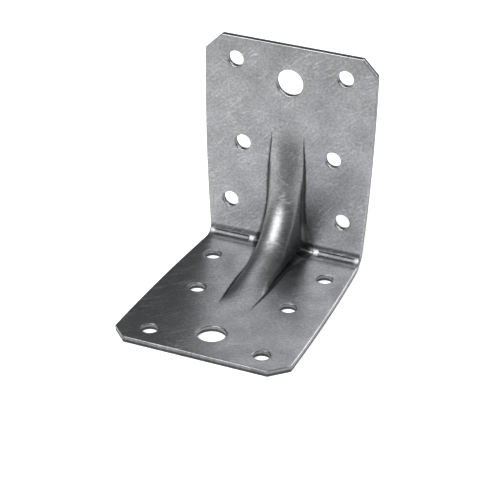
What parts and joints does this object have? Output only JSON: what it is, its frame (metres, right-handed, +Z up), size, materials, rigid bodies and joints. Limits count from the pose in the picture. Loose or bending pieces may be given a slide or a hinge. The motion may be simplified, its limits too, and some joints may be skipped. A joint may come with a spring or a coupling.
{
  "type": "angle bracket",
  "caption": "Galvanised steel angle bracket for timber joints, folded from one sheet, with a pressed rib across the fold and punched nail and bolt holes.",
  "frame": {"origin": "middle of the outer box in X and Y, on the underside of the base flange; the outer corner of the two flanges runs along X at y = +35 mm, z = 0", "axes": "+Z up along the standing flange, -Y along the base flange to its free end, X across the width"},
  "size_m": [0.055, 0.07, 0.07],
  "materials": {
    "galvanised_sheet": "hot-dip galvanised mill sheet, dull grey with a faint spangle and fine handling scratches"
  },
  "bodies": {
    "root": {"angle_bracket": "galvanised_sheet"}
  },
  "joints": []
}
